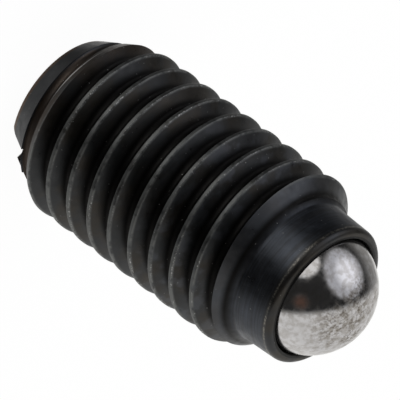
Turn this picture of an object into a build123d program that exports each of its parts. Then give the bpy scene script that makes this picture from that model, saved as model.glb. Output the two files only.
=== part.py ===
from build123d import *
import os
from math import acos, ceil, cos, degrees, pi, radians, sqrt, tan

# Ball-nosed spring plunger: a threaded steel sleeve with a screwdriver slot across its back end, a
# compression spring in its blind bore, and a hardened ball that a rolled-in lip holds at its nose.
# +Z runs along the axis towards the ball. The origin is the centre of the slotted end face, and
# the slot runs along X. Every length is in millimetres and every angle in degrees.

# Sleeve
body_length = 22.0
thread_nominal_diameter = 12.0
thread_pitch = 1.75
thread_allowance = 0.15          # the crests are this much under the nominal diameter
thread_start_angle = 125.0       # where round the axis, from the slot, a crest meets the end plane
end_face_diameter = 9.0
end_chamfer_length = 3.0
slot_width = 2.1
slot_depth = 2.0
slot_edge_rounding = 0.35        # where the slot's walls meet the end face

# Nose
nose_length = 2.8
nose_wall = 0.64                 # round the ball's bore, at the shoulder
nose_taper = 0.11                # how much slimmer the nose is at its rim, on the radius
front_cone_length = 1.2
rim_rounding = 0.38

# Ball and the lip that holds it
ball_diameter = 8.0
ball_clearance = 0.04            # on the radius, in the bore and under the lip
ball_stroke = 2.5
lip_hold = 0.08                  # how far the lip's throat reaches in past the ball's radius
lip_flare = 0.06                 # how much wider the mouth is than the throat, on the radius
lip_flare_depth = 0.22

# Spring
wire_diameter = 1.0
wire_sides = 8                   # the wire is drawn with flats, because it is out of sight
active_turns = 3.5
closed_turns = 1.0               # at each end
closed_turn_gap = 0.04
spare_travel = 0.4               # left between the coils when the ball is fully in
spring_clearance = 0.25          # between the coils and the bore, on the radius
seat_clearance = 0.03            # between the wire and what it bears on
drill_point_angle = 118.0

# Metric thread form: flat crests an eighth of the pitch wide, flanks 60 degrees apart
crest_radius = (thread_nominal_diameter - thread_allowance) / 2
root_radius = thread_nominal_diameter / 2 - 0.61343 * thread_pitch
crest_flat = thread_pitch / 8
flank_width = (crest_radius - root_radius) * tan(radians(30))
end_face_radius = end_face_diameter / 2
bar_radius = crest_radius + 0.5  # of the stock, which clears the crests

# Ball seat
ball_radius = ball_diameter / 2
bore_radius = ball_radius + ball_clearance
throat_radius = ball_radius - lip_hold
mouth_radius = throat_radius + lip_flare
throat_height = body_length - lip_flare_depth
ball_height = throat_height - sqrt(bore_radius**2 - throat_radius**2)
nose_radius = bore_radius + nose_wall
rim_radius = nose_radius - nose_taper
shoulder_height = body_length - nose_length

# Spring seats: the last turn bears on the ball, the first on the cone that the drill left
wire_radius = wire_diameter / 2
coil_radius = bore_radius - spring_clearance - wire_radius
closed_pitch = wire_diameter + closed_turn_gap
active_pitch = wire_diameter + (ball_stroke + spare_travel) / active_turns
coil_top = ball_height - sqrt((ball_radius + wire_radius + seat_clearance) ** 2 - coil_radius**2)
coil_bottom = coil_top - 2 * closed_turns * closed_pitch - active_turns * active_pitch
drill_slope = radians(90 - drill_point_angle / 2)
drill_tip = coil_bottom - (wire_radius + seat_clearance) / cos(drill_slope) - coil_radius * tan(drill_slope)
bore_floor = drill_tip + bore_radius * tan(drill_slope)


def turned_blank():
    """The sleeve with its cones, nose, lip and bore, left at the bar's size along the thread."""
    chamfer_slope = end_chamfer_length / (crest_radius - end_face_radius)
    cone_slope = front_cone_length / (crest_radius - nose_radius)
    outside = Polyline(
        (0, 0),
        (end_face_radius, 0),
        (bar_radius, (bar_radius - end_face_radius) * chamfer_slope),
        (bar_radius, shoulder_height - (bar_radius - nose_radius) * cone_slope),
        (nose_radius, shoulder_height),
        (rim_radius, body_length),
        (mouth_radius, body_length),
        (throat_radius, throat_height),
    )
    seat = CenterArc((0, ball_height), bore_radius, 0, degrees(acos(throat_radius / bore_radius)))
    bore = Polyline((bore_radius, ball_height), (bore_radius, bore_floor), (0, drill_tip), (0, 0))
    section = make_face(Plane.XZ * (outside + seat + bore))
    rim = section.vertices().group_by(Axis.Z)[-1].sort_by(Axis.X)[-1]
    return revolve(fillet(rim, rim_rounding), Axis.Z)


def threaded_rod():
    """A right-hand threaded rod, longer than the sleeve at both ends.

    Each turn is four strips between helices: the crest, a flank, the root and the other flank. A
    helical ramp down to the axis and a flat step close the rod at each end."""
    half_crest = crest_flat / 2
    next_crest = thread_pitch - half_crest
    profile = [
        (crest_radius, -half_crest),
        (crest_radius, half_crest),
        (root_radius, half_crest + flank_width),
        (root_radius, next_crest - flank_width),
        (crest_radius, next_crest),
    ]
    turns_below = 2
    turns = turns_below + ceil(body_length / thread_pitch) + 1

    def one_turn(radius, height):
        return (Pos(0, 0, height) * Helix(thread_pitch, thread_pitch, radius)).edge()

    faces = []
    for turn in range(turns):
        edges = [one_turn(radius, height + turn * thread_pitch) for radius, height in profile]
        faces += [Face.make_surface_from_curves(low, high) for low, high in zip(edges, edges[1:])]
    for end_height in (0, turns * thread_pitch):
        low = end_height - half_crest
        axis = Edge.make_line((0, 0, low), (0, 0, low + thread_pitch))
        faces.append(Face.make_surface_from_curves(one_turn(crest_radius, low), axis))
        step = [(radius, height + end_height) for radius, height in profile]
        step_outline = Polyline((0, low), *step, (0, low + thread_pitch), close=True)
        faces.append(make_face(Plane.XZ * step_outline).face())
    rod = Solid(Shell(faces))
    return Pos(0, 0, -turns_below * thread_pitch) * Rot(0, 0, thread_start_angle) * rod


def driver_slot():
    """What the screwdriver slot takes away, with its walls rounded over into the end face."""
    half_width = slot_width / 2
    half_mouth = half_width + slot_edge_rounding
    cutter_overshoot = 1.0
    walls = Polyline(
        (half_width, slot_edge_rounding),
        (half_width, slot_depth),
        (-half_width, slot_depth),
        (-half_width, slot_edge_rounding),
    )
    mouth = Polyline(
        (-half_mouth, 0),
        (-half_mouth, -cutter_overshoot),
        (half_mouth, -cutter_overshoot),
        (half_mouth, 0),
    )
    edges = [
        CenterArc((half_mouth, slot_edge_rounding), slot_edge_rounding, 180, 90),
        CenterArc((-half_mouth, slot_edge_rounding), slot_edge_rounding, 270, 90),
    ]
    return extrude(make_face(Plane.YZ * (walls + mouth + edges)), bar_radius, both=True)


def body():
    """The sleeve: the blank inside the threaded rod, with the screwdriver slot cut across it."""
    return (turned_blank() & threaded_rod()) - driver_slot()


def spring():
    """The compression spring as fitted, with its closed turns at both ends."""
    stages = [
        (closed_pitch, closed_turns),
        (active_pitch, active_turns),
        (closed_pitch, closed_turns),
    ]
    path = Curve()
    height, turned = coil_bottom, 0.0
    for pitch, turns in stages:
        path += Pos(0, 0, height) * Rot(0, 0, turned) * Helix(pitch, pitch * turns, coil_radius)
        height += pitch * turns
        turned += 360 * turns
    section = Plane(path @ 0, z_dir=path % 0) * RegularPolygon(wire_radius, wire_sides)
    return sweep(section, path=path, is_frenet=True)


def ball():
    """The hardened steel ball, at rest against the lip."""
    return Pos(0, 0, ball_height) * Sphere(ball_radius)


os.makedirs("parts", exist_ok=True)
for name, piece in (("body", body()), ("spring", spring()), ("ball", ball())):
    piece.label = name
    export_step(piece, f"parts/{name}.step")
    print(f"{name}: {len(piece.solids())} solid, {piece.volume:.1f} mm3, valid {piece.is_valid}")
print(f"ball proud by {ball_height + ball_radius - body_length:.2f}, bore floor at {bore_floor:.2f}")
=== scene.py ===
"""Looks of a ball-nosed spring plunger: a black-oxide threaded sleeve, its polished ball and its
spring.

Lengths written in millimetres are turned into metres by MM. +Z runs along the screw axis, from the
slotted end, which stands on the floor, towards the ball. The driver slot runs along X.
"""

from math import acos, atan2, cos, pi, radians, sin, sqrt, tan

import bmesh
import bpy
from mathutils import Matrix, Vector


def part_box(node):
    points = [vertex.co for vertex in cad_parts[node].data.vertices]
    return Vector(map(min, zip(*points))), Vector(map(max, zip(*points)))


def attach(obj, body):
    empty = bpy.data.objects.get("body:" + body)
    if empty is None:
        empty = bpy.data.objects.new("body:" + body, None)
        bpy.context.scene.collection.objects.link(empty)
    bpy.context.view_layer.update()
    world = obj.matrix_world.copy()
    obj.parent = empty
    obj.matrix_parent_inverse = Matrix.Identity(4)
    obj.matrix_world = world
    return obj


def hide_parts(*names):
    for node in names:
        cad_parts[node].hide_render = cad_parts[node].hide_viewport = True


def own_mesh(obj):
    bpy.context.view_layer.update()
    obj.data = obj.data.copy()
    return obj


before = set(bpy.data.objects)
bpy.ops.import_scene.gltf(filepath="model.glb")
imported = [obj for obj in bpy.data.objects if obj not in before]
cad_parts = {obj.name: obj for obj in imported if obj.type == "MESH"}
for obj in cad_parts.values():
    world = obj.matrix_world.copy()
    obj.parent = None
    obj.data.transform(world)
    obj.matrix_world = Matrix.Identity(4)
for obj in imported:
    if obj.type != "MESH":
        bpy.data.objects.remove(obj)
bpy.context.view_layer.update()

MM = 0.001

# Sizes taken from the frame
body_low, body_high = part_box("body")
ball_low, ball_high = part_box("ball")
spring_low, spring_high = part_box("spring")
BODY_LENGTH = body_high.z
CREST_RADIUS = (body_high.x - body_low.x) / 2
BALL_RADIUS = (ball_high.x - ball_low.x) / 2
BALL_HEIGHT = (ball_high.z + ball_low.z) / 2
COIL_OUTER_RADIUS = (spring_high.x - spring_low.x) / 2

# Thread, which runs as the CAD one does
THREAD_PITCH = 1.75 * MM
THREAD_DEPTH = 1.0 * MM
THREAD_START_ANGLE = radians(125.0)
FLANK_ANGLE = radians(30)        # between a flank and a plane across the axis
CREST_FLAT = THREAD_PITCH / 8
CREST_ROUNDING = 0.06 * MM
ROOT_RADIUS = CREST_RADIUS - THREAD_DEPTH
STEPS_PER_TURN = 144

# Sleeve
BAR_RADIUS = CREST_RADIUS + 0.5 * MM   # of the stock, which clears the crests
END_FACE_RADIUS = 4.5 * MM
END_CHAMFER_LENGTH = 3.0 * MM
END_CHAMFER_SLOPE = END_CHAMFER_LENGTH / (CREST_RADIUS - END_FACE_RADIUS)
NOSE_LENGTH = 2.8 * MM
NOSE_RADIUS = 4.68 * MM
RIM_RADIUS = 4.57 * MM
RIM_ROUNDING = 0.38 * MM
RIM_SET_BACK = 0.97 * RIM_ROUNDING     # less than the rounding, because the nose leans in
FRONT_CONE_LENGTH = 1.2 * MM
FRONT_CONE_SLOPE = FRONT_CONE_LENGTH / (CREST_RADIUS - NOSE_RADIUS)
SHOULDER_HEIGHT = BODY_LENGTH - NOSE_LENGTH
BORE_RADIUS = BALL_RADIUS + 0.04 * MM
THROAT_RADIUS = BALL_RADIUS - 0.08 * MM
MOUTH_RADIUS = THROAT_RADIUS + 0.06 * MM
DRILL_SLOPE = radians(31.0)      # of the cone left by a drill whose point is 118 degrees
EDGE_BREAK = 0.06 * MM           # on the turned corners
SPIN_STEPS = 192
SLEEVE_SMOOTHING = radians(28)   # sharper edges than this stay crisp
FACING_PITCH = 0.14 * MM         # between the rings that facing the end left

# Driver slot and the wear on it
SLOT_WIDTH = 2.1 * MM
SLOT_DEPTH = 2.0 * MM
SLOT_EDGE_ROUNDING = 0.35 * MM
SLOT_END_WEAR = 1.7              # how many times rounder the slot's edges are at the rim
CORNER_WEAR = 2.5                # the same at the one corner that is worn most
WEAR_START = 0.9 * MM            # that wear begins so far inside the end face's edge
WEAR_FULL = 0.3 * MM             # and is full so far outside it
SAW_RADIUS = 35.0 * MM           # of the disc that cut the slot
SAW_SIDES = 512
OVERSHOOT = 1.0 * MM             # of the cutter past what it cuts
WORN_CORNER = Vector((4.58, 1.45, 0.62)) * MM   # where the rim is worn down beside the slot
WORN_FACING = Vector((0.864, 0.279, -0.423)).normalized()
WORN_DEPTH = 0.15 * MM
WORN_PATCH_RADIUS = 1.4 * MM

# Ball and spring
BALL_CUTS = 55                   # across each side of the cube that becomes the ball
WIRE_RADIUS = 0.5 * MM
WIRE_STEPS_PER_TURN = 36
WIRE_SMOOTHING = radians(40)
SEAT_CLEARANCE = 0.03 * MM       # between the wire and the drilled cone
CLOSED_PITCH = 1.04 * MM
CLOSED_TURNS = 1.0
ACTIVE_TURNS = 3.5
COIL_RADIUS = COIL_OUTER_RADIUS - WIRE_RADIUS
COIL_BOTTOM = spring_low.z + WIRE_RADIUS
COIL_TOP = spring_high.z - WIRE_RADIUS

# Camera and the studio round it
CAMERA_AZIMUTH = radians(-56.0)
CAMERA_ELEVATION = radians(30.8)
CAMERA_ROLL = radians(126.635)
CAMERA_DISTANCE = 410.0 * MM
CAMERA_LENS = 627.1              # millimetres on a 36 mm sensor
AIM_HEIGHT = 11.55 * MM
AIM_RIGHT = 0.039 * MM           # how far right of the centre the aimed point shows
AIM_DOWN = 0.311 * MM
FLOOR_SIZE = 3.0
FLOOR_GLOW = 0.93                # the floor's own white; the rest of it takes the shadow
FLOOR_GLOW_STRENGTH = 1.04
ROOM_LEVEL = 0.025               # what the dark room gives back between the softboxes


# ---------------------------------------------------------------------------------------------
# Small helpers
# ---------------------------------------------------------------------------------------------

def linear(hex_colour):
    """An sRGB hex colour as the linear RGBA that the shaders take."""
    channels = [int(hex_colour[i:i + 2], 16) / 255 for i in (1, 3, 5)]
    curved = [c / 12.92 if c <= 0.04045 else ((c + 0.055) / 1.055) ** 2.4 for c in channels]
    return curved + [1.0]


def new_material(name):
    """An empty node material."""
    material = bpy.data.materials.new(name)
    material.use_nodes = True
    material.node_tree.nodes.clear()
    return material


def add_node(owner, kind, *inputs, **named):
    """Add a node to a material or to the world.

    Inputs come in the order that the node shows them, or by name, with a capital; names in small
    letters are settings. An input is a value, a socket, or a node that stands for its first
    output."""
    tree = owner.node_tree
    node = tree.nodes.new("ShaderNode" + kind)
    for name, value in named.items():
        if name[0].islower():
            setattr(node, name, value)
    filled = list(zip([socket for socket in node.inputs if socket.enabled], inputs))
    filled += [(node.inputs[name.replace("_", " ")], value)
               for name, value in named.items() if name[0].isupper()]
    for socket, value in filled:
        if isinstance(value, bpy.types.Node):
            value = next(output for output in value.outputs if output.enabled)
        if isinstance(value, bpy.types.NodeSocket):
            tree.links.new(value, socket)
        else:
            socket.default_value = value
    return node


def select_only(obj):
    """Deselect everything else and make this object the active one."""
    bpy.ops.object.select_all(action="DESELECT")
    obj.select_set(True)
    bpy.context.view_layer.objects.active = obj


def finish_mode(obj):
    """Leave edit mode and put the object's place into its mesh."""
    bpy.ops.object.mode_set(mode="OBJECT")
    select_only(obj)
    bpy.ops.object.transform_apply(location=True, rotation=True, scale=True)


def apply_modifier(obj, name, kind, **settings):
    """Add a modifier with these settings and apply it."""
    select_only(obj)
    modifier = obj.modifiers.new(name, kind)
    for key, value in settings.items():
        setattr(modifier, key, value)
    bpy.ops.object.modifier_apply(modifier=name)


def point_outward():
    """In edit mode, merge doubles and recalculate the normals."""
    bpy.ops.mesh.select_all(action="SELECT")
    bpy.ops.mesh.remove_doubles(threshold=1e-7)
    bpy.ops.mesh.normals_make_consistent(inside=False)


def pick(obj, wanted):
    """In edit mode, select just the vertices for which wanted(vertex) is true."""
    bpy.ops.mesh.select_mode(type="VERT")
    bpy.ops.mesh.select_all(action="DESELECT")
    mesh = bmesh.from_edit_mesh(obj.data)
    for vertex in mesh.verts:
        if wanted(vertex):
            vertex.select_set(True)
    mesh.select_flush(True)
    bmesh.update_edit_mesh(obj.data)


def start_outline(name, first_point):
    """A new object in edit mode with one selected vertex, which is a plane drawn together."""
    bpy.ops.object.select_all(action="DESELECT")
    bpy.ops.mesh.primitive_plane_add(size=MM, location=(0, 0, 0))
    obj = bpy.context.object
    obj.name = name
    bpy.ops.object.mode_set(mode="EDIT")
    bpy.ops.mesh.select_mode(type="VERT")
    bpy.ops.mesh.select_all(action="SELECT")
    bpy.ops.mesh.merge(type="CENTER")
    bpy.ops.transform.translate(value=first_point)
    return obj


def extrude_along(points):
    """Extrude the selected vertex from point to point."""
    for before, after in zip(points, points[1:]):
        step = Vector(after) - Vector(before)
        bpy.ops.mesh.extrude_region_move(TRANSFORM_OT_translate={"value": step})


def arc(centre, radius, start, end, steps):
    """Points of an arc in the XZ plane, from one angle to the other."""
    angles = [start + (end - start) * i / steps for i in range(steps + 1)]
    return [(centre[0] + radius * cos(a), 0, centre[1] + radius * sin(a)) for a in angles]


# ---------------------------------------------------------------------------------------------
# Sleeve
# ---------------------------------------------------------------------------------------------

def thread_profile():
    """One pitch of the thread's outline: rounded crest, flank, root arc and flank."""
    flank_turn = pi / 2 - FLANK_ANGLE
    half_flat = CREST_FLAT / 2
    # a crest edge is an arc that meets the flat and the flank
    crest_z = half_flat - CREST_ROUNDING * tan(flank_turn / 2)
    crest_centre = (CREST_RADIUS - CREST_ROUNDING, crest_z)
    upper = arc(crest_centre, CREST_ROUNDING, 0, flank_turn, steps=4)
    # the root is an arc that the flanks run into, at the CAD root's depth
    half_gap = THREAD_PITCH / 2
    flank_foot_gap = half_gap - half_flat - THREAD_DEPTH * tan(FLANK_ANGLE)
    root_arc_radius = flank_foot_gap / tan(flank_turn / 2)
    root_centre = (ROOT_RADIUS + root_arc_radius, half_gap)
    root = arc(root_centre, root_arc_radius, pi + flank_turn, pi - flank_turn, steps=8)
    lower = [(x, y, THREAD_PITCH - z) for x, y, z in reversed(upper)]
    next_crest = [(CREST_RADIUS, 0, THREAD_PITCH + crest_z)]
    return upper + root + lower + next_crest


def threaded_rod():
    """The thread screwed up out of its outline, closed at both ends, longer than the sleeve."""
    turns_below = 2
    turns = turns_below + int(BODY_LENGTH / THREAD_PITCH) + 2
    profile = thread_profile()
    rod = start_outline("threaded_rod", profile[0])
    extrude_along(profile)
    finish_mode(rod)
    apply_modifier(rod, "Screw", "SCREW", axis="Z", angle=2 * pi, screw_offset=THREAD_PITCH,
                   iterations=turns, steps=STEPS_PER_TURN, render_steps=STEPS_PER_TURN)
    # each end is a fan from the open edge to the point where it draws together
    middle = turns * THREAD_PITCH / 2
    bpy.ops.object.mode_set(mode="EDIT")
    point_outward()
    for sign in (-1, 1):
        pick(rod, lambda vertex: vertex.is_boundary and sign * (vertex.co.z - middle) > 0)
        bpy.ops.mesh.extrude_region_move(TRANSFORM_OT_translate={"value": (0, 0, 0)})
        bpy.ops.mesh.merge(type="CENTER")
    point_outward()
    bpy.ops.mesh.select_all(action="SELECT")
    bpy.ops.transform.translate(value=(0, 0, -turns_below * THREAD_PITCH))
    bpy.ops.object.mode_set(mode="OBJECT")
    rod.rotation_euler.z = THREAD_START_ANGLE
    finish_mode(rod)
    return rod


def blank_outline():
    """Half of the sleeve's section, from the end face round the nose and lip to the drilled tip."""
    chamfer_end = (BAR_RADIUS - END_FACE_RADIUS) * END_CHAMFER_SLOPE
    cone_start = SHOULDER_HEIGHT - (BAR_RADIUS - NOSE_RADIUS) * FRONT_CONE_SLOPE
    seat_drop = (WIRE_RADIUS + SEAT_CLEARANCE) / cos(DRILL_SLOPE)
    drill_tip = COIL_BOTTOM - seat_drop - COIL_RADIUS * tan(DRILL_SLOPE)
    bore_floor = drill_tip + BORE_RADIUS * tan(DRILL_SLOPE)
    rim_turn = atan2(NOSE_RADIUS - RIM_RADIUS, NOSE_LENGTH)
    rim_centre = (RIM_RADIUS - RIM_SET_BACK, BODY_LENGTH - RIM_ROUNDING)
    seat_end = acos(THROAT_RADIUS / BORE_RADIUS)
    end_face = [
        (0, 0, 0),
        (END_FACE_RADIUS - EDGE_BREAK, 0, 0),
        (END_FACE_RADIUS + 0.3 * EDGE_BREAK, 0, 0.9 * EDGE_BREAK),
    ]
    bar = [(BAR_RADIUS, 0, chamfer_end), (BAR_RADIUS, 0, cone_start)]
    shoulder = [
        (NOSE_RADIUS + EDGE_BREAK, 0, SHOULDER_HEIGHT - EDGE_BREAK * FRONT_CONE_SLOPE),
        (NOSE_RADIUS, 0, SHOULDER_HEIGHT + EDGE_BREAK),
    ]
    rim = arc(rim_centre, RIM_ROUNDING, rim_turn, pi / 2, steps=8)
    lip = [
        (MOUTH_RADIUS + EDGE_BREAK / 2, 0, BODY_LENGTH),
        (MOUTH_RADIUS, 0, BODY_LENGTH - EDGE_BREAK / 2),
    ]
    seat = arc((0, BALL_HEIGHT), BORE_RADIUS, seat_end, 0, steps=6)
    bore = [(BORE_RADIUS, 0, bore_floor), (0, 0, drill_tip)]
    return end_face + bar + shoulder + rim + lip + seat + bore


def turned_blank():
    """The sleeve's outline spun round the axis."""
    outline = blank_outline()
    blank = start_outline("turned_blank", outline[0])
    extrude_along(outline)
    bpy.ops.mesh.select_all(action="SELECT")
    bpy.ops.mesh.spin(steps=SPIN_STEPS, angle=2 * pi, center=(0, 0, 0), axis=(0, 0, 1))
    point_outward()
    finish_mode(blank)
    return blank


def slot_cutter():
    """A bar as wide as the driver slot, with flared edges where it leaves the end face. The saw
    that cut the slot was a disc, so its floor rises a little towards the rim."""
    half_width = SLOT_WIDTH / 2
    half_mouth = half_width + SLOT_EDGE_ROUNDING
    edge_centre = (half_mouth, SLOT_EDGE_ROUNDING)
    right = arc(edge_centre, SLOT_EDGE_ROUNDING, pi, 1.5 * pi, steps=5)
    left = [(-x, y, z) for x, y, z in reversed(right)]
    below = [(half_mouth, 0, -OVERSHOOT), (-half_mouth, 0, -OVERSHOOT)]
    floor_corners = [(half_width, 0, SLOT_DEPTH), (-half_width, 0, SLOT_DEPTH)]
    outline = floor_corners[:1] + right + below + left + floor_corners[1:]
    cutter = start_outline("slot_cutter", outline[0])
    extrude_along(outline)
    bpy.ops.mesh.select_all(action="SELECT")
    bpy.ops.mesh.edge_face_add()
    worn_from = END_FACE_RADIUS - WEAR_START
    distances = (CREST_RADIUS + OVERSHOOT, END_FACE_RADIUS + WEAR_FULL, worn_from)
    stations = [-distance for distance in distances] + list(reversed(distances))
    bpy.ops.transform.translate(value=(0, stations[0], 0))
    for before, after in zip(stations, stations[1:]):
        step = (0, after - before, 0)
        bpy.ops.mesh.extrude_region_move(TRANSFORM_OT_translate={"value": step})
    point_outward()
    # the mouth's edges are worn rounder where they run out at the rim, most of all at one corner
    mouth_top = 1.01 * SLOT_EDGE_ROUNDING
    for side in (-1, 1):
        for end in (-1, 1):
            wear = CORNER_WEAR if (side, end) == (1, -1) else SLOT_END_WEAR
            pick(cutter, lambda vertex: end * vertex.co.y > END_FACE_RADIUS
                 and side * vertex.co.x > 0 and vertex.co.z < mouth_top)
            bpy.ops.transform.resize(value=(wear, 1, wear),
                                     center_override=(side * half_width, 0, 0))
    bpy.ops.object.mode_set(mode="OBJECT")
    bpy.ops.mesh.primitive_cylinder_add(
        vertices=SAW_SIDES, radius=SAW_RADIUS, depth=2 * CREST_RADIUS,
        location=(0, 0, SLOT_DEPTH - SAW_RADIUS), rotation=(0, pi / 2, 0))
    saw = bpy.context.object
    apply_modifier(cutter, "Saw", "BOOLEAN", object=saw, operation="INTERSECT", solver="EXACT")
    bpy.data.objects.remove(saw, do_unlink=True)
    cutter.rotation_euler.z = pi / 2
    finish_mode(cutter)
    return cutter


def corner_grinder():
    """What takes the worn corner off the rim beside the slot."""
    bpy.ops.mesh.primitive_cylinder_add(
        vertices=64, radius=WORN_PATCH_RADIUS, depth=2 * WORN_PATCH_RADIUS,
        location=WORN_CORNER + WORN_FACING * (WORN_PATCH_RADIUS - WORN_DEPTH),
        rotation=WORN_FACING.to_track_quat("Z", "Y").to_euler())
    return bpy.context.object


def model_sleeve():
    """The finished sleeve: the blank inside the thread, less the driver slot and a worn corner."""
    sleeve = turned_blank()
    cuts = (
        (threaded_rod(), "INTERSECT"),
        (slot_cutter(), "DIFFERENCE"),
        (corner_grinder(), "DIFFERENCE"),
    )
    for tool, operation in cuts:
        apply_modifier(sleeve, tool.name, "BOOLEAN", object=tool, operation=operation,
                       solver="EXACT")
        bpy.data.objects.remove(tool, do_unlink=True)
    sleeve.name = "sleeve"
    bpy.ops.object.mode_set(mode="EDIT")
    point_outward()
    finish_mode(sleeve)
    bpy.ops.object.shade_smooth_by_angle(angle=SLEEVE_SMOOTHING)
    return sleeve


# ---------------------------------------------------------------------------------------------
# Ball and spring
# ---------------------------------------------------------------------------------------------

def model_ball():
    """The bearing ball, from a finely divided cube rounded to a sphere, so that it has no poles."""
    bpy.ops.object.select_all(action="DESELECT")
    bpy.ops.mesh.primitive_cube_add(size=2 * BALL_RADIUS / sqrt(3), location=(0, 0, 0))
    piece = bpy.context.object
    piece.name = "bearing_ball"
    bpy.ops.object.mode_set(mode="EDIT")
    bpy.ops.mesh.select_all(action="SELECT")
    bpy.ops.mesh.subdivide(number_cuts=BALL_CUTS)
    bpy.ops.transform.tosphere(value=1.0)
    bpy.ops.object.mode_set(mode="OBJECT")
    reached = max(vertex.co.length for vertex in piece.data.vertices)
    piece.scale = [BALL_RADIUS / reached] * 3
    piece.location.z = BALL_HEIGHT
    finish_mode(piece)
    bpy.ops.object.shade_smooth()
    return piece


def model_spring():
    """The coil: round wire bent along a helix with a closed turn at each end."""
    active_pitch = (COIL_TOP - COIL_BOTTOM - 2 * CLOSED_TURNS * CLOSED_PITCH) / ACTIVE_TURNS
    total_steps = round((2 * CLOSED_TURNS + ACTIVE_TURNS) * WIRE_STEPS_PER_TURN)
    path = []
    height = COIL_BOTTOM
    for i in range(total_steps + 1):
        turn = i / WIRE_STEPS_PER_TURN
        angle = 2 * pi * turn
        path.append((COIL_RADIUS * cos(angle), COIL_RADIUS * sin(angle), height))
        closed = turn < CLOSED_TURNS or turn >= CLOSED_TURNS + ACTIVE_TURNS
        height += (CLOSED_PITCH if closed else active_pitch) / WIRE_STEPS_PER_TURN
    wire = start_outline("coil_spring", path[0])
    extrude_along(path)
    finish_mode(wire)
    bpy.ops.object.convert(target="CURVE")
    wire.data.bevel_depth = WIRE_RADIUS
    wire.data.bevel_resolution = 4
    wire.data.use_fill_caps = True
    bpy.ops.object.convert(target="MESH")
    wire = bpy.context.object
    bpy.ops.object.mode_set(mode="EDIT")
    point_outward()
    finish_mode(wire)
    bpy.ops.object.shade_smooth_by_angle(angle=WIRE_SMOOTHING)
    return wire


# ---------------------------------------------------------------------------------------------
# Finishes
# ---------------------------------------------------------------------------------------------

def mask(owner, *limits):
    """How far a place keeps to all of these limits, from 0 to 1. A limit is another mask, a plain
    share, or a measure with the value where it begins to hold and the one where it holds fully."""
    held = 1.0
    for limit in limits:
        if isinstance(limit, tuple):
            measure, begin, full = limit
            limit = add_node(owner, "MapRange", measure, min(begin, full), max(begin, full),
                             float(begin > full), float(begin < full),
                             interpolation_type="SMOOTHSTEP")
        held = add_node(owner, "Math", held, limit, operation="MULTIPLY")
    return held


def paint(material, colour, *layers):
    """Lay shades over a colour in turn, each where its mask is and as strongly as its share."""
    for place, share, shade in layers:
        cover = add_node(material, "Math", place, share, operation="MULTIPLY")
        colour = add_node(material, "Mix", cover, colour, linear(shade), data_type="RGBA")
    return colour


def distance_from_axis(material, coords):
    """How far a place is from the screw axis, in metres."""
    level = add_node(material, "Mapping", coords, Scale=(1, 1, 0))
    return add_node(material, "VectorMath", level, operation="LENGTH")


def height_over_crest(material, coords):
    """How far up a place is from the middle of the nearest crest, in pitches: from -0.5 to 0.5."""
    x, y, z = add_node(material, "SeparateXYZ", coords).outputs
    angle = add_node(material, "Math", y, x, operation="ARCTAN2")
    start = 0.5 + THREAD_START_ANGLE / (2 * pi)
    turned = add_node(material, "Math", angle, -1 / (2 * pi), start, operation="MULTIPLY_ADD")
    rise = add_node(material, "Math", z, 1 / THREAD_PITCH, turned, operation="MULTIPLY_ADD")
    part = add_node(material, "Math", rise, operation="FRACT")
    return add_node(material, "Math", part, 0.5, operation="SUBTRACT")


def finish_metal(material, colour, metallic, roughness, relief, bump_strength, bump_depth):
    """The shader of a metal with its relief as a bump, led to the material's output."""
    bump = add_node(material, "Bump", Strength=bump_strength, Distance=bump_depth, Height=relief)
    shader = add_node(material, "BsdfPrincipled", Base_Color=colour, Metallic=metallic,
                      Roughness=roughness, Normal=bump)
    add_node(material, "OutputMaterial", Surface=shader)


def bare_and_highlight_marks(material, coords, z, phase, upper_edge, coarse, fine):
    """Where the black skin is through to bright steel at nicks anywhere, and painted highlights:
    sparkles on the upper edge of the crests and one short bright line on the first turn."""
    bare_and_highlights = mask(material, upper_edge, (fine, 0.56, 0.66), (coarse, 0.42, 0.60))
    specks = add_node(material, "TexNoise", coords, 1 / (0.13 * MM), 1.0)
    nicks = mask(material, 0.7, (specks, 0.77, 0.82))
    # a painted highlight on the first turn
    streak_highlight = mask(material, (phase, -0.17, -0.13), (phase, -0.06, -0.10),
                  (z, 2.25 * MM, 2.29 * MM), (z, 2.38 * MM, 2.34 * MM))
    for mark in (nicks, streak_highlight):
        bare_and_highlights = add_node(material, "Math", bare_and_highlights, mark, operation="MAXIMUM")
    return bare_and_highlights


def end_marks(material, z, radius, coarse):
    """The slotted end's chamfer, the worn line where it meets the face, and the face's rings."""
    from_cone = add_node(material, "Math", z, -1 / END_CHAMFER_SLOPE, radius,
                         operation="MULTIPLY_ADD")
    chamfer = mask(material, (from_cone, END_FACE_RADIUS - 0.16 * MM, END_FACE_RADIUS - 0.08 * MM),
                   (z, 2.2 * MM, 1.8 * MM))
    rim_line = mask(material, (z, 0.42 * MM, 0.16 * MM), (coarse, 0.25, 0.50),
                    (radius, END_FACE_RADIUS - 0.12 * MM, END_FACE_RADIUS - 0.03 * MM))
    turns = add_node(material, "Math", radius, 2 * pi / FACING_PITCH, operation="MULTIPLY")
    waves = add_node(material, "Math", turns, operation="SINE")
    rings = mask(material, waves, (z, 0.04 * MM, 0.01 * MM))
    return chamfer, rim_line, rings


def nose_marks(material, z, coarse):
    """The nose, and the two fine lines that the lathe tool left round it."""
    nose = mask(material, (z, SHOULDER_HEIGHT - 0.9 * MM, SHOULDER_HEIGHT - 0.1 * MM),
                (z, BODY_LENGTH - 0.02 * MM, BODY_LENGTH - 0.82 * MM))
    lower = mask(material, (z, SHOULDER_HEIGHT + 0.22 * MM, SHOULDER_HEIGHT + 0.26 * MM),
                 (z, SHOULDER_HEIGHT + 0.29 * MM, SHOULDER_HEIGHT + 0.25 * MM))
    upper = mask(material, (z, SHOULDER_HEIGHT + 0.38 * MM, SHOULDER_HEIGHT + 0.42 * MM),
                 (z, SHOULDER_HEIGHT + 0.44 * MM, SHOULDER_HEIGHT + 0.40 * MM))
    lines = add_node(material, "Math", lower, upper, operation="MAXIMUM")
    return nose, mask(material, lines, (coarse, 0.35, 0.55))


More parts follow.
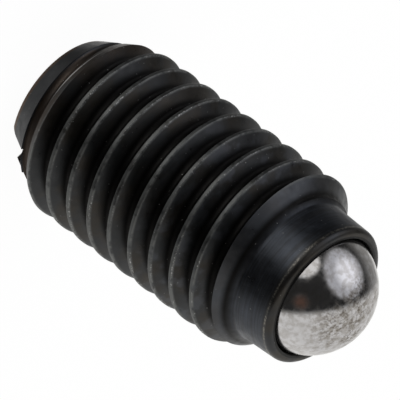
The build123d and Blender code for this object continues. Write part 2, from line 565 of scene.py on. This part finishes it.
def black_oxide_steel():
    """Hot black-oxide finish over rolled and turned steel: a near black, slightly porous skin that
    turns grey at a glancing angle, thin and worn to grey on the crests, brown on the first turns,
    with painted shade down in the roots, a painted sheen before the nose, and painted highlights
    on the crests' upper edge, the rim and the first turn."""
    m = new_material("black_oxide_steel")
    coords = add_node(m, "TexCoord").outputs["Object"]
    z = add_node(m, "SeparateXYZ", coords).outputs["Z"]
    radius = distance_from_axis(m, coords)
    phase = height_over_crest(m, coords)

    # the skin's own grain, from broad patches to pores, and the lathe's round the nose; the real
    # pores are finer still, and are drawn as coarse as they need to be to show
    coarse = add_node(m, "TexNoise", coords, 1 / (2.2 * MM), 3.0)
    patches = add_node(m, "TexNoise", coords, 1 / (1.2 * MM), 4.0)
    medium = add_node(m, "TexNoise", coords, 1 / (0.5 * MM), 4.0)
    fine = add_node(m, "TexNoise", coords, 1 / (0.09 * MM), 3.0)
    round_axis = add_node(m, "Mapping", coords, Scale=(0.25, 0.25, 7))
    turned_grain = add_node(m, "TexNoise", round_axis, 1 / (0.9 * MM), 4.0)

    # where the skin is rubbed: the crests, and the rim's outer edge, which also takes a painted
    # highlight; and a painted highlight, broken up, along the crests' upper edge
    threaded = mask(m, (z, 1.3 * MM, 1.9 * MM),
                    (z, SHOULDER_HEIGHT + 0.2 * MM, SHOULDER_HEIGHT - 0.4 * MM))
    crest = mask(m, threaded, (radius, CREST_RADIUS - 0.16 * MM, CREST_RADIUS - 0.04 * MM))
    rubbed = mask(m, crest, (medium, 0.22, 0.60))
    upper_edge = mask(m, crest, (phase, 0.03, 0.06), (phase, 0.10, 0.07))
    crest_edge_highlight = mask(m, upper_edge, (medium, 0.40, 0.60))
    rim_wear_and_highlight = mask(m, (z, BODY_LENGTH - 0.47 * MM, BODY_LENGTH - 0.39 * MM),
                    (z, BODY_LENGTH - 0.26 * MM, BODY_LENGTH - 0.34 * MM),
                    (radius, RIM_RADIUS - 0.3 * MM, RIM_RADIUS - 0.1 * MM),
                    (fine, 0.35, 0.62), (medium, 0.28, 0.60))

    # bare steel at nicks, and painted highlights on the crests' upper edge and the first turn
    bare_and_highlights = bare_and_highlight_marks(m, coords, z, phase, upper_edge, coarse, fine)

    # the first turns, which are brown, and painted shade in the thread's roots past the first turns
    brown = mask(m, (z, 3.3 * MM, 2.2 * MM), (coarse, 0.25, 0.6))
    root = mask(m, threaded, (radius, ROOT_RADIUS + 0.45 * MM, ROOT_RADIUS + 0.1 * MM))
    root_painted_shade = mask(m, root, (z, 2.2 * MM, 3.3 * MM))

    # the handled stretch before the front cone, a painted sheen on the front cone, and the shade
    # inside the lip
    handled = mask(m, (patches, 0.46, 0.62), (z, 10 * MM, 14 * MM),
                   (z, SHOULDER_HEIGHT + 1 * MM, SHOULDER_HEIGHT - 3 * MM))
    cone_foot = SHOULDER_HEIGHT - FRONT_CONE_LENGTH
    front_cone_sheen = mask(m, (z, cone_foot - 0.15 * MM, cone_foot + 0.15 * MM),
                (z, SHOULDER_HEIGHT + 0.05 * MM, SHOULDER_HEIGHT - 0.25 * MM))
    lip_shade = mask(m, (radius, BORE_RADIUS + 0.13 * MM, BORE_RADIUS + 0.08 * MM),
                     (z, BODY_LENGTH - 0.6 * MM, BODY_LENGTH - 0.4 * MM))

    nose, tool_lines = nose_marks(m, z, coarse)
    nose_grain = add_node(m, "Math", turned_grain, nose, operation="MULTIPLY")
    chamfer, rim_line, rings = end_marks(m, z, radius, coarse)

    skin = paint(m, linear("#3d3e3f"), (mask(m, (coarse, 0.4, 0.65)), 1.0, "#413e3a"))
    turned = paint(m, linear("#3d3f43"), (mask(m, (turned_grain, 0.35, 0.65)), 1.0, "#464a51"))
    colour = paint(
        m, add_node(m, "Mix", nose, skin, turned, data_type="RGBA"),
        (handled, 0.5, "#5c5f65"),
        # painted sheen on the front cone
        (front_cone_sheen, 0.42, "#54575c"),
        (brown, 1.0, "#423830"),
        (chamfer, 1.0, "#36383b"),
        (rim_line, 0.8, "#664c34"),
        # painted shade in the thread's roots
        (root_painted_shade, 1.0, "#151413"),
        (rubbed, 0.85, "#6d6f6e"),
        (lip_shade, 1.0, "#1a1a19"),
        (tool_lines, 0.6, "#1c1c1e"),
        # wear and a painted highlight on the rim's outer edge
        (rim_wear_and_highlight, 0.75, "#99958b"),
        # painted highlight, broken up, along the crests' upper edge
        (crest_edge_highlight, 0.5, "#8a8b89"),
        # bare steel at nicks, and painted highlights on the crests' upper edge and the first turn
        (bare_and_highlights, 1.0, "#d6d6d4"),
    )
    # the skin is a thin oxide, so a little of it scatters light like paint, more where it is brown
    metallic = add_node(m, "Math", brown, -0.3, 0.86, operation="MULTIPLY_ADD")
    roughness = add_node(m, "MapRange", medium, 0.3, 0.7, 0.27, 0.44)
    matt = add_node(m, "Math", crest, root, operation="MAXIMUM")
    roughness = add_node(m, "Math", matt, 0.12, roughness, operation="MULTIPLY_ADD")

    relief = 0.0
    heights = ((medium, 0.5), (fine, 0.35), (nose_grain, 0.11), (tool_lines, -0.6), (rings, 0.25))
    for pattern, height in heights:
        relief = add_node(m, "Math", pattern, height, relief, operation="MULTIPLY_ADD")
    finish_metal(m, colour, metallic, roughness, relief, bump_strength=0.35, bump_depth=0.02 * MM)
    return m


def polished_ball_steel():
    """Lapped bearing steel, almost a mirror: its tip is scuffed dull and stained where it strikes,
    with fine scratches and pits all over."""
    m = new_material("polished_ball_steel")
    coords = add_node(m, "TexCoord").outputs["Object"]
    radius = distance_from_axis(m, coords)
    # smears from handling, the mottle of a used surface, and marks and pits as coarse as they
    # need to be to show
    smears = add_node(m, "TexNoise", coords, 1 / (1.3 * MM), 4.0)
    mottle = add_node(m, "TexNoise", coords, 1 / (0.34 * MM), 5.0)
    along_axis = add_node(m, "Mapping", coords, Scale=(1, 1, 0.5))
    marks = add_node(m, "TexNoise", along_axis, 1 / (0.16 * MM), 4.0)
    pits = add_node(m, "TexNoise", coords, 1 / (0.06 * MM), 2.0)

    tip = mask(m, (radius, 3.3 * MM, 1.6 * MM), (smears, 0.34, 0.58))
    wear = add_node(m, "Math", tip, 0.45, 0.42, operation="MULTIPLY_ADD")
    dull = mask(m, wear, (mottle, 0.36, 0.62))
    stained = mask(m, tip, (marks, 0.46, 0.62))
    pitted = mask(m, (pits, 0.70, 0.76))
    colour = paint(m, linear("#d6d5d6"),
                   (dull, 1.0, "#9a948b"), (stained, 0.7, "#5a5047"), (pitted, 0.6, "#3a342f"))
    roughness = add_node(m, "Math", dull, 0.22, 0.09, operation="MULTIPLY_ADD")
    relief = add_node(m, "Math", marks, 0.6, mottle, operation="MULTIPLY_ADD")
    finish_metal(m, colour, 1.0, roughness, relief, bump_strength=0.22, bump_depth=0.01 * MM)
    return m


def spring_steel():
    """Drawn music wire, oiled: grey and satin, with faint lines and darker smears along it."""
    m = new_material("spring_steel")
    coords = add_node(m, "TexCoord").outputs["Object"]
    smears = add_node(m, "TexNoise", coords, 1 / (0.9 * MM), 3.0)
    # the wire runs almost level, so its drawing lines are fine across Z and long round the coil;
    # they are drawn some ten times coarser than real ones, so that they show
    along_wire = add_node(m, "Mapping", coords, Scale=(0.3, 0.3, 5))
    lines = add_node(m, "TexNoise", along_wire, 1 / (0.4 * MM), 3.0)
    colour = paint(m, linear("#b4b2ae"),
                   (mask(m, (smears, 0.35, 0.65)), 1.0, "#87837c"),
                   (mask(m, (lines, 0.55, 0.7)), 0.5, "#5f5c58"))
    roughness = add_node(m, "Math", lines, 0.2, 0.24, operation="MULTIPLY_ADD")
    finish_metal(m, colour, 1.0, roughness, lines, bump_strength=0.3, bump_depth=0.01 * MM)
    return m


def dress(piece, material):
    """Give a piece its one material."""
    piece.data.materials.clear()
    piece.data.materials.append(material)


# ---------------------------------------------------------------------------------------------
# Camera, floor and lights
# ---------------------------------------------------------------------------------------------

camera_back = Vector((
    cos(CAMERA_ELEVATION) * cos(CAMERA_AZIMUTH),
    cos(CAMERA_ELEVATION) * sin(CAMERA_AZIMUTH),
    sin(CAMERA_ELEVATION),
))
camera_turn = camera_back.to_track_quat("Z", "Y").to_matrix() @ Matrix.Rotation(CAMERA_ROLL, 3, "Z")


def add_camera():
    """The camera, rolled so that the ball points to the lower right."""
    data = bpy.data.cameras.new("camera")
    data.lens = CAMERA_LENS
    data.sensor_width = 36.0
    data.clip_start = 0.01
    data.clip_end = 20.0
    camera = bpy.data.objects.new("camera", data)
    bpy.context.scene.collection.objects.link(camera)
    aim = Vector((0, 0, AIM_HEIGHT)) + camera_turn @ Vector((-AIM_RIGHT, AIM_DOWN, 0))
    place = camera_turn.to_4x4()
    place.translation = aim + CAMERA_DISTANCE * camera_back
    camera.matrix_world = place
    bpy.context.scene.camera = camera


def add_floor():
    """A plain white floor that keeps a faint shadow."""
    bpy.ops.object.select_all(action="DESELECT")
    bpy.ops.mesh.primitive_plane_add(size=FLOOR_SIZE, location=(0, 0, 0))
    floor = bpy.context.object
    floor.name = "floor"
    m = new_material("white_sweep")
    diffuse = add_node(m, "BsdfDiffuse", linear("#f2f2f2"))
    glow = add_node(m, "Emission", linear("#ffffff"), FLOOR_GLOW_STRENGTH)
    rays = add_node(m, "LightPath").outputs
    seen = rays["Is Camera Ray"]
    for mirrored in (rays["Is Glossy Ray"], rays["Is Transmission Ray"]):
        seen = add_node(m, "Math", seen, mirrored, operation="MAXIMUM")
    share = add_node(m, "Math", seen, FLOOR_GLOW, operation="MULTIPLY")
    add_node(m, "OutputMaterial", Surface=add_node(m, "MixShader", share, diffuse, glow))
    dress(floor, m)
    floor.visible_glossy = False


def from_camera(up, side, ahead):
    """A direction made of the screw axis, the level one across it and the one at the camera."""
    level_back = Vector((cos(CAMERA_AZIMUTH), sin(CAMERA_AZIMUTH), 0))
    level_side = Vector((-sin(CAMERA_AZIMUTH), cos(CAMERA_AZIMUTH), 0))
    return (up * Vector((0, 0, 1)) + ahead * level_back + side * level_side).normalized()


def softbox(world, direction, middle, half_angle, edge, strength):
    """How bright a direction is in a round softbox: where its middle is, half its width and how far
    its edge fades to either side, both in degrees, and its strength."""
    nearness = add_node(world, "VectorMath", direction, middle, operation="DOT_PRODUCT")
    outside, inside = cos(radians(half_angle + edge)), cos(radians(half_angle - edge))
    return mask(world, (nearness, outside, inside), strength)


def add_world():
    """A dark room with softboxes over a white table, as the metal mirrors it. The camera sees
    white."""
    world = bpy.data.worlds.new("studio")
    bpy.context.scene.world = world
    world.use_nodes = True
    world.node_tree.nodes.clear()
    direction = add_node(world, "TexCoord").outputs["Generated"]
    table = softbox(world, direction, from_camera(0.30, 0.69, -0.66), 70, 6, 0.72)
    table_front = softbox(world, direction, from_camera(-0.51, 0.75, -0.43), 49, 10, 0.78)
    backdrop = softbox(world, direction, from_camera(-0.35, -0.35, -0.87), 35, 22, 0.31)
    beyond = softbox(world, direction, from_camera(-0.512, 0.0, -0.859), 26, 14, 0.85)
    under = softbox(world, direction, from_camera(-0.99, 0.0, 0.15), 22, 10, 0.45)
    main = softbox(world, direction, from_camera(0.62, -0.78, 0.11), 37, 4, 0.50)
    main_core = softbox(world, direction, from_camera(0.60, -0.80, 0.02), 15, 14, 0.70)
    top = softbox(world, direction, from_camera(-0.05, -0.42, 0.91), 23, 4, 0.85)
    rear = softbox(world, direction, from_camera(-0.51, -0.35, 0.785), 17, 6, 1.9)
    warm = softbox(world, direction, from_camera(0.46, 0.50, 0.72), 9, 8, 1.0)

    # the main box and its core add to the upper two; elsewhere the brightest box is what shows
    level = add_node(world, "Math", top, rear, operation="MAXIMUM")
    for box in (main, main_core):
        level = add_node(world, "Math", level, box, operation="ADD")
    for box in (table, table_front, backdrop, under, beyond):
        level = add_node(world, "Math", level, box, operation="MAXIMUM")
    level = add_node(world, "Math", level, ROOM_LEVEL, operation="ADD")
    level = add_node(world, "Math", warm, 0.10, level, operation="MULTIPLY_ADD")
    hue = add_node(world, "Mix", main, linear("#fdfcfa"), linear("#eef1ff"), data_type="RGBA")
    hue = add_node(world, "Mix", warm, hue, linear("#dcae9a"), data_type="RGBA")
    tent = add_node(world, "Background", hue, level)
    white = add_node(world, "Background", linear("#ffffff"), 1.0)
    seen = add_node(world, "LightPath").outputs["Is Camera Ray"]
    add_node(world, "OutputWorld", Surface=add_node(world, "MixShader", seen, tent, white))


# ---------------------------------------------------------------------------------------------
# Assembly
# ---------------------------------------------------------------------------------------------

add_camera()

sleeve = model_sleeve()
dress(sleeve, black_oxide_steel())
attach(sleeve, "housing")
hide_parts("body")

bearing_ball = model_ball()
dress(bearing_ball, polished_ball_steel())
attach(bearing_ball, "ball")
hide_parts("ball")

coil_spring = model_spring()
dress(coil_spring, spring_steel())
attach(coil_spring, "housing")
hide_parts("spring")
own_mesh(coil_spring)

add_floor()
add_world()
bpy.context.scene.view_settings.view_transform = "Standard"
